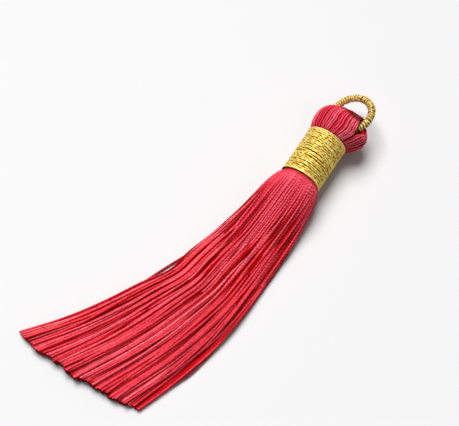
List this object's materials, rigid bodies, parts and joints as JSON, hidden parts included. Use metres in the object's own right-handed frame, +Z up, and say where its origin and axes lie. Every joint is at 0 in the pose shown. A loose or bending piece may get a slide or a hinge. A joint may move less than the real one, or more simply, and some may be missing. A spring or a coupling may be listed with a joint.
{
  "type": "thread tassel with a wrapped hanging ring",
  "caption": "Tassel of looped silky thread, its neck bound with gold thread, its skirt fanned flat to one side, with a wrapped ring through its head.",
  "frame": {"origin": "on the surface that the tassel lies on, under the middle of its box", "axes": "+Y along the neck from the skirt's cut end to the ring, +Z up from the surface, +X to the right seen from above with the ring away from the viewer"},
  "size_m": [0.0442, 0.0892, 0.0119],
  "materials": {
    "red_thread": "silky, with a soft sheen along the threads",
    "gold_binding_thread": "twisted metallic gold thread, wound side by side, glittering",
    "gold_ring_thread": "twisted metallic gold thread, wrapped closely round the ring, glittering"
  },
  "bodies": {
    "root": {"thread_hank": "red_thread", "gold_binding": "gold_binding_thread", "hanging_ring": "gold_ring_thread"}
  },
  "joints": []
}
